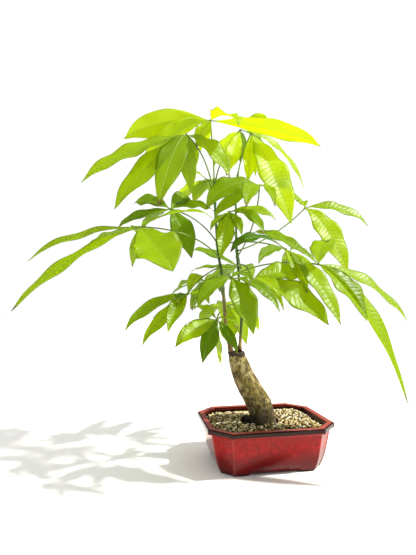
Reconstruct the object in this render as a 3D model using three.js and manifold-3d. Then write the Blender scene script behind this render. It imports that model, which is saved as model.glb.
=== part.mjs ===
// Potted money tree (Pachira bonsai) in a red glazed pot, in millimetres with +Z up.
// The origin is the centre of the pot's footprint on the surface that it stands on.
// The pot's long side runs along X, and its front looks along -Y.

import * as THREE from 'three';
import { mergeVertices } from 'three/addons/utils/BufferGeometryUtils.js';
import Module from 'manifold-3d';

const wasm = await Module();
wasm.setup();

// ---------------------------------------------------------------- driving dimensions

const potLength = 203;
const potDepth = 162;
const potHeight = 68;
const cornerCut = 29;
const cornerStep = 2;
const lipThickness = 8;
const lipOverhang = 6;
const lipWidth = 11;
const wallThickness = 6;
const footHeight = 3;
const footLength = 66;
const footDepth = 52;
const floorTop = 10;
const drainRadius = 10;
const drainSpacing = 96;

const screenSize = 34;
const screenThickness = 1.2;
const screenHoles = 3;

const gap = 0.3;
const soilTop = 58;
const gravelEdge = 63.5;
const gravelCrown = 66.5;
const gravelMargin = 2.5;
const hollow = { x: -3, y: -5, radiusX: 36, radiusY: 33 };

const stemSides = 8;
const petioleSides = 6;
const petioleRadius = 1.5;
const petioleSteps = 5;
const knuckleRadius = 3.4;
const bladeThickness = 1.0;
const bladeStations = [0, 0.2, 0.42, 0.64, 0.85, 1];

const red = { color: 0xa81010, roughness: 0.18, metalness: 0 };
const plasticBlack = { color: 0x1c1c1e, roughness: 0.5, metalness: 0 };
const darkSoil = { color: 0x17110c, roughness: 1, metalness: 0 };
const creamGravel = { color: 0xd8c690, roughness: 0.9, metalness: 0 };
const bark = { color: 0x82731e, roughness: 0.85, metalness: 0 };
const youngStem = { color: 0x5c7a18, roughness: 0.6, metalness: 0 };
const leafGreen = { color: 0x9cc80c, roughness: 0.4, metalness: 0 };

// ---------------------------------------------------------------- solids and meshes

const tree = new THREE.Group();

function addMesh(name, geometry, finish) {
  const mesh = new THREE.Mesh(geometry, new THREE.MeshStandardMaterial(finish));
  mesh.name = name;
  tree.add(mesh);
}

function toSolid(geometry) {
  const bare = geometry.clone();
  bare.deleteAttribute('normal');
  bare.deleteAttribute('uv');
  const merged = mergeVertices(bare, 1e-4);
  return new wasm.Manifold(new wasm.Mesh({
    numProp: 3,
    vertProperties: new Float32Array(merged.attributes.position.array),
    triVerts: new Uint32Array(merged.index.array),
  }));
}

function toGeometry(solid) {
  const mesh = solid.getMesh();
  const geometry = new THREE.BufferGeometry();
  geometry.setAttribute('position', new THREE.BufferAttribute(mesh.vertProperties, 3));
  geometry.setIndex(new THREE.BufferAttribute(mesh.triVerts, 1));
  return geometry;
}

function joinAll(geometries) {
  return geometries.map(toSolid).reduce((whole, next) => whole.add(next));
}

// A closed skin over rings of points. Every ring has the same number of points, turns the same
// way as seen against the loft's direction, and the two end rings are closed to their middles.
function loft(rings) {
  const count = rings[0].length;
  const points = rings.flat();
  const index = [];
  for (let ring = 0; ring + 1 < rings.length; ring += 1) {
    for (let side = 0; side < count; side += 1) {
      const here = ring * count + side;
      const next = ring * count + ((side + 1) % count);
      index.push(here, next, next + count, here, next + count, here + count);
    }
  }
  const closeEnd = (ring, turned) => {
    const middle = points.length;
    const centre = new THREE.Vector3();
    rings[ring].forEach((point) => centre.add(point));
    points.push(centre.divideScalar(count));
    for (let side = 0; side < count; side += 1) {
      const here = ring * count + side;
      const next = ring * count + ((side + 1) % count);
      index.push(middle, turned ? next : here, turned ? here : next);
    }
  };
  closeEnd(0, true);
  closeEnd(rings.length - 1, false);
  const geometry = new THREE.BufferGeometry().setFromPoints(points);
  geometry.setIndex(index);
  return geometry;
}

// A round tube along a curve, with a radius that is a function of the way along it.
function tube(curve, radiusAt, steps, sides) {
  const frames = curve.computeFrenetFrames(steps, false);
  const rings = [];
  for (let step = 0; step <= steps; step += 1) {
    const along = step / steps;
    const centre = curve.getPointAt(along);
    const ring = [];
    for (let side = 0; side < sides; side += 1) {
      const angle = (2 * Math.PI * side) / sides;
      const point = centre.clone();
      point.addScaledVector(frames.normals[step], radiusAt(along) * Math.cos(angle));
      point.addScaledVector(frames.binormals[step], radiusAt(along) * Math.sin(angle));
      ring.push(point);
    }
    rings.push(ring);
  }
  return loft(rings);
}

// ---------------------------------------------------------------- pot

// The rectangle with cut, stepped corners, drawn in from the lip's outer edge by inset.
function potOutline(inset, z) {
  const halfX = potLength / 2 - inset;
  const halfY = potDepth / 2 - inset;
  const cut = cornerCut - inset * (2 - Math.SQRT2);
  const corner = [
    [halfX, halfY - cut],
    [halfX - cornerStep, halfY - cut],
    [halfX - cut, halfY - cornerStep],
    [halfX - cut, halfY],
  ];
  const flip = (signX, signY) => corner.map(([x, y]) => [signX * x, signY * y]);
  const outline = [
    ...flip(1, 1),
    ...flip(-1, 1).reverse(),
    ...flip(-1, -1),
    ...flip(1, -1).reverse(),
  ];
  return outline.map(([x, y]) => new THREE.Vector3(x, y, z));
}

// How far the wall's outside is drawn in at height z: upright under the lip, curving in below.
function wallInset(z) {
  const lipUnderside = potHeight - lipThickness;
  const down = (lipUnderside - z) / lipUnderside;
  return lipOverhang + 11 * down + 5 * down ** 5;
}

function makePot() {
  const lipUnderside = potHeight - lipThickness;
  const wallHeights = [0, 4, 9, 16, 28, 44, lipUnderside];
  const outside = loft([
    ...wallHeights.map((z) => potOutline(wallInset(z), z)),
    potOutline(0.8, lipUnderside),
    potOutline(0, lipUnderside + 1),
    potOutline(0, potHeight - 1.2),
    potOutline(1.2, potHeight),
  ]);
  const cavityHeights = [floorTop, 16, 28, 44, lipUnderside];
  const cavity = loft([
    ...cavityHeights.map((z) => potOutline(wallInset(z) + wallThickness, z)),
    potOutline(lipWidth, potHeight - 2),
    potOutline(lipWidth - 1.5, potHeight + 1),
  ]);
  let pot = toSolid(outside).subtract(toSolid(cavity));
  const crossGap = new THREE.BoxGeometry(potLength - 2 * footLength, potDepth, 2 * footHeight);
  const longGap = new THREE.BoxGeometry(potLength, potDepth - 2 * footDepth, 2 * footHeight);
  pot = pot.subtract(toSolid(crossGap)).subtract(toSolid(longGap));
  for (const side of [-1, 1]) {
    const drain = new THREE.CylinderGeometry(drainRadius, drainRadius, 4 * floorTop, 24);
    drain.rotateX(Math.PI / 2);
    drain.translate((side * drainSpacing) / 2, 0, 0);
    pot = pot.subtract(toSolid(drain));
  }
  return toGeometry(pot);
}

// A square of plastic mesh over one drain hole, on the pot's floor.
function makeScreen(centreX) {
  const height = floorTop + gap + screenThickness / 2;
  let screen = toSolid(new THREE.BoxGeometry(screenSize, screenSize, screenThickness));
  const pitch = screenSize / (screenHoles + 0.5);
  const first = (-(screenHoles - 1) * pitch) / 2;
  for (let row = 0; row < screenHoles; row += 1) {
    for (let column = 0; column < screenHoles; column += 1) {
      const hole = new THREE.BoxGeometry(0.6 * pitch, 0.6 * pitch, 2 * screenThickness);
      hole.translate(first + row * pitch, first + column * pitch, 0);
      screen = screen.subtract(toSolid(hole));
    }
  }
  return toGeometry(screen.translate([centreX, 0, height]));
}

// ---------------------------------------------------------------- trunk

// Centre and radius of the leaning trunk at each height, from the buried roots to the sawn top.
const trunkRings = [
  { x: 4, z: 30, radius: 19 },
  { x: 2, z: 50, radius: 22 },
  { x: 1, z: 62, radius: 22.5 },
  { x: -2, z: 76, radius: 22 },
  { x: -7, z: 91, radius: 22 },
  { x: -15, z: 106, radius: 23 },
  { x: -26, z: 124, radius: 21 },
  { x: -37, z: 149, radius: 17.5 },
  { x: -43.5, z: 170, radius: 14.5 },
  { x: -45, z: 176, radius: 13 },
];

// Three root buttresses swell the foot of the trunk and fade out above it.
function trunkRadius(ring, angle) {
  const foot = Math.max(0, 1 - Math.abs(ring.z - 60) / 40);
  return ring.radius * (1 + 0.09 * foot * Math.cos(3 * angle));
}

function makeTrunk(grow, sides) {
  return loft(trunkRings.map((ring) => {
    const points = [];
    for (let side = 0; side < sides; side += 1) {
      const angle = (2 * Math.PI * side) / sides;
      const radius = trunkRadius(ring, angle) + grow;
      points.push(new THREE.Vector3(
        ring.x + radius * Math.cos(angle),
        radius * Math.sin(angle),
        ring.z - (ring === trunkRings[0] ? grow : 0),
      ));
    }
    return points;
  }));
}

// ---------------------------------------------------------------- soil and gravel

function makeSoil() {
  const heights = [floorTop + gap, 16, 28, 44, soilTop];
  const body = loft(heights.map((z) => potOutline(wallInset(z) + wallThickness + 0.4, z)));
  let soil = toSolid(body).subtract(toSolid(makeTrunk(gap + 0.2, 24)));
  for (const side of [-1, 1]) {
    const pocket = new THREE.BoxGeometry(screenSize + 1, screenSize + 1, 2 * (screenThickness + 2 * gap));
    pocket.translate((side * drainSpacing) / 2, 0, floorTop);
    soil = soil.subtract(toSolid(pocket));
  }
  return toGeometry(soil);
}

function makeGravel() {
  const wall = wallInset(soilTop) + wallThickness;
  const rise = gravelCrown - gravelEdge;
  const body = loft([
    potOutline(wall + gravelMargin - 1, soilTop + gap),
    potOutline(wall + gravelMargin, gravelEdge - 2),
    potOutline(wall + gravelMargin + 3, gravelEdge),
    potOutline(wall + gravelMargin + 18, gravelEdge + 0.7 * rise),
    potOutline(wall + gravelMargin + 34, gravelCrown),
  ]);
  const plug = new THREE.CylinderGeometry(1.08, 0.92, 30, 28);
  plug.rotateX(Math.PI / 2);
  plug.scale(hollow.radiusX, hollow.radiusY, 1);
  plug.translate(hollow.x, hollow.y, gravelEdge);
  return toGeometry(toSolid(body).subtract(toSolid(plug)));
}

// ---------------------------------------------------------------- stems

const leftStem = {
  points: [
    [-55, -5, 179.5], [-58, -5, 190], [-64, -6, 215], [-66, -8, 250],
    [-70, -8, 300], [-77, -8, 340], [-81, -8, 400], [-83, -8, 458],
  ],
  baseRadius: 3.2,
  tipRadius: 2,
};

const rightStem = {
  points: [
    [-37, 6, 178], [-35, 9, 195], [-32, 12, 220], [-32, 13, 255],
    [-36, 13, 300], [-40, 13, 350], [-41, 13, 440], [-37, 13, 478],
  ],
  baseRadius: 2.8,
  tipRadius: 1.7,
};

function stemCurve({ points }) {
  return new THREE.CatmullRomCurve3(points.map((point) => new THREE.Vector3(...point)));
}

// A stem thins quickly above its foot and then slowly, towards its tip.
function stemRadius({ baseRadius, tipRadius }, along) {
  return tipRadius + (baseRadius - tipRadius) * (1 - along) ** 2.2;
}

function makeStem(stem) {
  return tube(stemCurve(stem), (along) => stemRadius(stem, along), 22, stemSides);
}

// ---------------------------------------------------------------- compound leaves

const up = [0, 0, 1];
const front = [0, -1, 0.3];
const frontUp = [0, -1, 1];
const upFront = [0, -0.5, 1];
const back = [0, 1, 0.6];
const backUp = [0, 0.7, 1];
const upBack = [0, 0.4, 1];

// One leaflet: the place of its tip, its width, how far its arch rises above the straight way
// to the tip, and the direction that its upper side looks in.
function leaflet(tip, width, lift, looks) {
  return { tip, width, lift, looks };
}

// Each leaf: the stem that it grows on and at what height, the point that its petiole bends
// towards, the hub that all its leaflets spread from, and its leaflets.
const leaves = {
  leaf_crown: {
    stem: leftStem, height: 460, bend: [-85, -10, 510], hub: [-90, -10, 560],
    leaflets: [
      leaflet([-230, -30, 515], 42, 20, back),
      leaflet([-205, -30, 470], 36, 30, backUp),
      leaflet([-70, -120, 510], 40, 20, up),
      leaflet([95, -35, 525], 32, 10, backUp),
      leaflet([-95, 65, 540], 24, 10, up),
      leaflet([-120, -55, 500], 24, 10, upFront),
    ],
  },
  leaf_crown_right: {
    stem: leftStem, height: 445, bend: [-70, 30, 510], hub: [-25, 40, 570],
    leaflets: [
      leaflet([35, 75, 550], 24, 20, upFront),
      leaflet([-5, 110, 540], 26, 20, up),
      leaflet([-65, -20, 470], 28, 5, front),
      leaflet([-60, 110, 530], 28, 20, up),
      leaflet([25, 25, 590], 20, 15, back),
    ],
  },
  leaf_right_top: {
    stem: rightStem, height: 480, bend: [-30, 10, 520], hub: [-15, 5, 550],
    leaflets: [
      leaflet([30, -60, 385], 54, 30, frontUp),
      leaflet([85, 10, 465], 30, 40, [0.4, -1, 0.8]),
      leaflet([-30, -25, 460], 26, 5, front),
      leaflet([10, 60, 500], 24, 15, up),
    ],
  },
  leaf_upper_left: {
    stem: leftStem, height: 430, bend: [-100, -30, 500], hub: [-135, -50, 515],
    leaflets: [
      leaflet([-180, -100, 395], 42, 45, frontUp),
      leaflet([-75, -85, 445], 38, 25, frontUp),
      leaflet([-285, -90, 425], 36, 25, frontUp),
      leaflet([-240, -90, 390], 40, 20, frontUp),
      leaflet([-115, 0, 480], 24, 10, up),
      leaflet([-125, -30, 435], 26, 10, front),
    ],
  },
  leaf_inner_left: {
    stem: leftStem, height: 355, bend: [-105, 0, 400], hub: [-155, 0, 410],
    leaflets: [
      leaflet([-215, 40, 430], 36, 10, frontUp),
      leaflet([-120, 65, 455], 30, 5, front),
      leaflet([-65, 75, 430], 34, 15, frontUp),
      leaflet([-240, 25, 385], 22, 10, frontUp),
      leaflet([-200, 70, 390], 22, 10, up),
      leaflet([-125, -40, 330], 36, 15, front),
    ],
  },
  leaf_long_left: {
    stem: leftStem, height: 330, bend: [-120, -50, 370], hub: [-205, -70, 365],
    leaflets: [
      leaflet([-360, -50, 320], 34, 20, [0, -0.5, 1]),
      leaflet([-370, -85, 250], 30, 30, [0, -0.5, 1]),
      leaflet([-165, -155, 300], 66, 0, [-0.1, -1, 0.7]),
      leaflet([-285, -5, 340], 24, 10, up),
      leaflet([-215, -40, 315], 16, 5, front),
      leaflet([-205, 15, 370], 24, 10, upFront),
      leaflet([-100, -80, 385], 26, 25, [0, -0.3, 1]),
    ],
  },
  leaf_back_middle: {
    stem: rightStem, height: 360, bend: [-30, 45, 350], hub: [-20, 60, 320],
    leaflets: [
      leaflet([-105, 90, 360], 28, 10, upFront),
      leaflet([-105, 115, 320], 22, 10, upFront),
      leaflet([30, 165, 300], 34, 35, up),
      leaflet([-30, 200, 285], 36, 45, up),
      leaflet([-75, 180, 270], 32, 35, up),
    ],
  },
  leaf_upper_front: {
    stem: rightStem, height: 335, bend: [-15, -30, 380], hub: [-15, -40, 445],
    leaflets: [
      leaflet([-105, -55, 405], 42, 35, frontUp),
      leaflet([-85, -15, 400], 22, 10, front),
      leaflet([80, -10, 420], 30, 20, frontUp),
      leaflet([-65, -135, 390], 26, 20, frontUp),
      leaflet([-20, -125, 395], 16, 20, frontUp),
    ],
  },
  leaf_upper_right: {
    stem: rightStem, height: 345, bend: [35, 30, 370], hub: [95, 30, 430],
    leaflets: [
      leaflet([205, 5, 400], 32, 30, [0, -1, 0.8]),
      leaflet([145, -25, 310], 46, 40, [0, -1, 0.3]),
      leaflet([110, 85, 455], 22, 10, up),
    ],
  },
  leaf_long_right: {
    stem: leftStem, height: 290, bend: [-20, -40, 330], hub: [65, -80, 315],
    leaflets: [
      leaflet([50, -140, 345], 36, 10, [0, 0.4, 1]),
      leaflet([-15, 5, 380], 26, 20, frontUp),
      leaflet([50, -5, 350], 18, 15, up),
      leaflet([195, -110, 230], 36, 30, [0.3, -0.9, 1]),
      leaflet([160, -150, 120], 32, 85, [0.5, -1, 0.6]),
      leaflet([110, -135, 235], 44, 20, [0.2, -1, 0.7]),
    ],
  },
  leaf_middle_front: {
    stem: leftStem, height: 350, bend: [-30, -50, 360], hub: [20, -60, 340],
    leaflets: [
      leaflet([-75, -85, 335], 26, 35, upFront),
      leaflet([-45, -125, 315], 20, 15, frontUp),
      leaflet([65, -145, 230], 32, 30, frontUp),
      leaflet([30, -115, 275], 26, 15, frontUp),
      leaflet([55, 20, 305], 20, 5, up),
    ],
  },
  leaf_right_front: {
    stem: rightStem, height: 320, bend: [-40, -55, 320], hub: [-45, -95, 290],
    leaflets: [
      leaflet([40, -85, 300], 38, 10, frontUp),
      leaflet([55, -130, 230], 48, 20, frontUp),
      leaflet([-25, -150, 270], 22, 15, frontUp),
      leaflet([5, -90, 250], 20, 25, frontUp),
    ],
  },
  leaf_low_front: {
    stem: leftStem, height: 280, bend: [-75, -65, 310], hub: [-80, -110, 290],
    leaflets: [
      leaflet([-60, -150, 220], 36, 25, frontUp),
      leaflet([-130, -130, 255], 28, 15, upFront),
      leaflet([-120, -80, 280], 20, 10, upFront),
      leaflet([-30, -165, 250], 18, 20, frontUp),
      leaflet([-70, -170, 285], 20, 15, up),
    ],
  },
  leaf_low_left: {
    stem: leftStem, height: 315, bend: [-110, -25, 300], hub: [-130, -30, 270],
    leaflets: [
      leaflet([-100, 20, 305], 22, 10, upFront),
      leaflet([-150, -65, 260], 18, 5, upFront),
      leaflet([-225, -50, 220], 20, 20, frontUp),
      leaflet([-200, -60, 200], 22, 10, frontUp),
      leaflet([-165, -85, 220], 24, 15, frontUp),
      leaflet([-100, -55, 260], 22, 10, upFront),
    ],
  },
  leaf_trunk_top: {
    stem: leftStem, height: 240, bend: [-80, -25, 245], hub: [-85, -40, 230],
    leaflets: [
      leaflet([-110, 30, 250], 20, 15, upFront),
      leaflet([-135, -10, 220], 16, 10, up),
      leaflet([-155, -90, 200], 28, 10, frontUp),
      leaflet([-115, -80, 175], 26, 10, front),
      leaflet([-65, 30, 155], 20, 5, [-1, -0.6, 0]),
      leaflet([-60, -70, 185], 16, 10, front),
      leaflet([-70, -110, 225], 16, 15, upFront),
    ],
  },
  leaf_back_low: {
    stem: rightStem, height: 240, bend: [-35, 55, 260], hub: [-40, 80, 250],
    leaflets: [
      leaflet([-30, 110, 180], 38, 5, front),
      leaflet([5, 110, 180], 36, 20, frontUp),
      leaflet([40, 140, 205], 30, 25, upBack),
      leaflet([-80, 150, 210], 34, 25, upBack),
      leaflet([-25, 195, 225], 34, 35, up),
    ],
  },
  leaf_back_left: {
    stem: leftStem, height: 260, bend: [-65, 30, 290], hub: [-70, 55, 290],
    leaflets: [
      leaflet([-110, 80, 250], 28, 15, upBack),
      leaflet([-130, 120, 285], 28, 20, up),
      leaflet([-95, 165, 245], 32, 35, up),
      leaflet([-150, 60, 270], 24, 20, up),
    ],
  },
  leaf_centre: {
    stem: rightStem, height: 370, bend: [-60, -15, 395], hub: [-65, -40, 400],
    leaflets: [
      leaflet([-90, -85, 325], 28, 15, front),
      leaflet([-50, -60, 365], 18, 5, front),
      leaflet([-100, -60, 370], 14, 5, upFront),
      leaflet([5, -60, 390], 20, 15, frontUp),
      leaflet([-30, -105, 360], 26, 20, frontUp),
    ],
  },
  leaf_back_top: {
    stem: leftStem, height: 420, bend: [-85, 15, 460], hub: [-85, 30, 470],
    leaflets: [
      leaflet([-145, 5, 480], 26, 15, upFront),
      leaflet([-105, 80, 445], 26, 15, upBack),
      leaflet([-130, 115, 450], 30, 20, up),
      leaflet([-55, 135, 470], 30, 30, up),
      leaflet([-25, 90, 470], 26, 20, up),
    ],
  },
};

// The width of a blade beside its widest part: drawn out at the stalk, widest beyond the
// middle, and running into a long drip tip.
function bladeShape(along) {
  const widest = 0.583;
  const shape = (t) => t ** 1.4 * (1 - t);
  return shape(along) / shape(widest);
}

// One leaflet as a thin closed body: at each station along its arched midrib a flat lozenge,
// with its two edges folded up a little from the midrib.
function makeBlade(hub, { tip, width, lift, looks }) {
  const start = new THREE.Vector3(...hub);
  const end = new THREE.Vector3(...tip);
  const middle = start.clone().add(end).divideScalar(2);
  middle.z += lift;
  const midrib = new THREE.QuadraticBezierCurve3(start, middle, end);
  const rings = bladeStations.map((along) => {
    const centre = midrib.getPoint(along);
    const tangent = midrib.getTangent(along);
    const normal = new THREE.Vector3(...looks);
    normal.addScaledVector(tangent, -normal.dot(tangent)).normalize();
    const side = new THREE.Vector3().crossVectors(tangent, normal);
    const halfWidth = Math.max((width / 2) * bladeShape(along), along < 0.1 ? 1 : 0.3);
    const thickness = along > 0.95 ? 0.4 : bladeThickness;
    const edge = (sign) => centre.clone()
      .addScaledVector(side, sign * halfWidth)
      .addScaledVector(normal, 0.18 * halfWidth);
    return [
      edge(-1),
      centre.clone().addScaledVector(normal, -thickness / 2),
      edge(1),
      centre.clone().addScaledVector(normal, thickness / 2),
    ].reverse();
  });
  return loft(rings);
}

// Where a petiole starts: beside its stem at that height, clear of the bark, on the side that
// it bends to. A leaf above the stem's last point starts on the tip instead.
function petioleStart(stem, height, bend) {
  const curve = stemCurve(stem);
  const tip = curve.getPointAt(1);
  if (height > tip.z) {
    return new THREE.Vector3(tip.x, tip.y, tip.z + petioleRadius + gap);
  }
  let low = 0;
  let high = 1;
  for (let halving = 0; halving < 20; halving += 1) {
    const middle = (low + high) / 2;
    if (curve.getPointAt(middle).z < height) {
      low = middle;
    } else {
      high = middle;
    }
  }
  const centre = curve.getPointAt(low);
  const outward = new THREE.Vector3(bend.x - centre.x, bend.y - centre.y, 0).normalize();
  return centre.addScaledVector(outward, stemRadius(stem, low) + petioleRadius + gap);
}

function makeLeaf({ stem, height, bend, hub, leaflets }) {
  const bendPoint = new THREE.Vector3(...bend);
  const start = petioleStart(stem, height, bendPoint);
  const petiole = tube(
    new THREE.QuadraticBezierCurve3(start, bendPoint, new THREE.Vector3(...hub)),
    () => petioleRadius,
    petioleSteps,
    petioleSides,
  );
  const knuckle = new THREE.IcosahedronGeometry(knuckleRadius, 0);
  knuckle.translate(...hub);
  return toGeometry(joinAll([petiole, knuckle, ...leaflets.map((one) => makeBlade(hub, one))]));
}

// ---------------------------------------------------------------- the whole plant

addMesh('pot', makePot(), red);
addMesh('drain_screen_left', makeScreen(-drainSpacing / 2), plasticBlack);
addMesh('drain_screen_right', makeScreen(drainSpacing / 2), plasticBlack);
addMesh('potting_soil', makeSoil(), darkSoil);
addMesh('gravel', makeGravel(), creamGravel);
addMesh('trunk', makeTrunk(0, 18), bark);
addMesh('stem_left', makeStem(leftStem), youngStem);
addMesh('stem_right', makeStem(rightStem), youngStem);
for (const [name, leaf] of Object.entries(leaves)) {
  addMesh(name, makeLeaf(leaf), leafGreen);
}

export default tree;
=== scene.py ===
"""The looks of a potted money tree: a leaning sawn trunk with two stems and hand-shaped
compound leaves, in a red glazed pot with cut corners, topped with gravel.

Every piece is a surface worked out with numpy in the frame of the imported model, in metres,
with +Z up and the pot's front looking along -Y. Shapes are given below in millimetres.
"""

import bpy
import numpy as np
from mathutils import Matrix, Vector


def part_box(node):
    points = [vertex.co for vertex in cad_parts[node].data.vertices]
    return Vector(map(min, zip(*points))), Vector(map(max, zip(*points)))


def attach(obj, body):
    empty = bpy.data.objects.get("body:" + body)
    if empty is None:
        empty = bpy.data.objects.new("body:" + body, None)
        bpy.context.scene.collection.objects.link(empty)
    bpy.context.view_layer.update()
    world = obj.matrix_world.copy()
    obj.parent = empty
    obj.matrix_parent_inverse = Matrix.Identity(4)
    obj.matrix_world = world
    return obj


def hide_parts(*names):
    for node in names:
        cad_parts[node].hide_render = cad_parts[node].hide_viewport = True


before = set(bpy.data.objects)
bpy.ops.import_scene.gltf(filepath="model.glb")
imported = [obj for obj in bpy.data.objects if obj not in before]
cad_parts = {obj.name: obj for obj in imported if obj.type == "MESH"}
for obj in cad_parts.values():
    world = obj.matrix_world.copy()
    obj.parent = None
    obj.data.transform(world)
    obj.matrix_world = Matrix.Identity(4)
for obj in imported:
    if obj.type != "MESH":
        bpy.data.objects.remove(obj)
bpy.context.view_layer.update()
MM = 0.001

# ---------------------------------------------------------------- the plant's measures

POT_LENGTH = 203
POT_DEPTH = 162
POT_HEIGHT = 68
CORNER_CUT = 29
CORNER_STEP = 2
LIP_THICKNESS = 8
LIP_OVERHANG = 6
LIP_WIDTH = 11
WALL_THICKNESS = 6
FOOT_HEIGHT = 3
FOOT_LENGTH = 66
FOOT_DEPTH = 52
FLOOR_TOP = 10
DRAIN_RADIUS = 10
DRAIN_SPACING = 96
SOIL_TOP = 58
GRAVEL_EDGE = 63.5
GRAVEL_CROWN = 66.5
HOLLOW_CENTRE = (-3, -5)
HOLLOW_RADII = (36, 33)
STEM_STATIONS = 150
STEM_FOOT_DROP = 2.6
FLOOR_REACH = 6
FARTHEST_MISS = 8

# Centre, height and radius of the trunk at each level, from the buried roots to the sawn top.
TRUNK_LEVELS = [
    (4, 30, 19),
    (2, 50, 22),
    (1, 62, 22.5),
    (-2, 76, 22),
    (-7, 91, 22),
    (-15, 106, 23),
    (-26, 124, 21),
    (-37, 149, 17.5),
    (-43.5, 170, 14.5),
    (-45, 176, 13),
]

# The route of each stem from its swollen foot, just above the sawn top, to its highest leaf.
STEMS = {
    "stem_left": {
        "points": [
            [-55, -5, 179.5], [-58, -5, 190], [-64, -6, 215], [-66, -8, 250],
            [-70, -8, 300], [-77, -8, 340], [-81, -8, 400], [-83, -8, 458],
        ],
        "base_radius": 3.2,
        "tip_radius": 2,
        "brown_reach": 95,
    },
    "stem_right": {
        "points": [
            [-37, 6, 178], [-35, 9, 195], [-32, 12, 220], [-32, 13, 255],
            [-36, 13, 300], [-40, 13, 350], [-41, 13, 440], [-37, 13, 478],
        ],
        "base_radius": 2.8,
        "tip_radius": 1.7,
        "brown_reach": 25,
    },
}

UP = (0, 0, 1)
FRONT = (0, -1, 0.3)
FRONT_UP = (0, -1, 1)
UP_FRONT = (0, -0.5, 1)
BACK = (0, 1, 0.6)
BACK_UP = (0, 0.7, 1)
UP_BACK = (0, 0.4, 1)


def leaf(stem, height, age, bend, hub, *rows):
    """A compound leaf: its stem and the height that it grows at, its maturity mixed with painted shade,
    the point that its petiole bends towards, the hub that its leaflets spread from, and the leaflets.

    A value of 0 is young and yellow-green, and 1 is old and deep green; the values are partly
    the leaf's maturity and partly painted shade, deeper green for leaves that lie in shade. A leaf
    whose leaflets differ has one value for each, and those differences are painted shade. Each
    leaflet has the place of its tip, its width, how far its arch rises above the straight way to
    the tip, and the direction that its upper side looks in.
    """
    leaflets = [dict(zip(("tip", "width", "lift", "looks"), row)) for row in rows]
    return {"stem": stem, "height": height, "age": age, "bend": bend, "hub": hub,
            "leaflets": leaflets}


# Each leaf's colour value is partly its maturity and partly painted shade: leaves that lie in shade are
# set deeper green.
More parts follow.
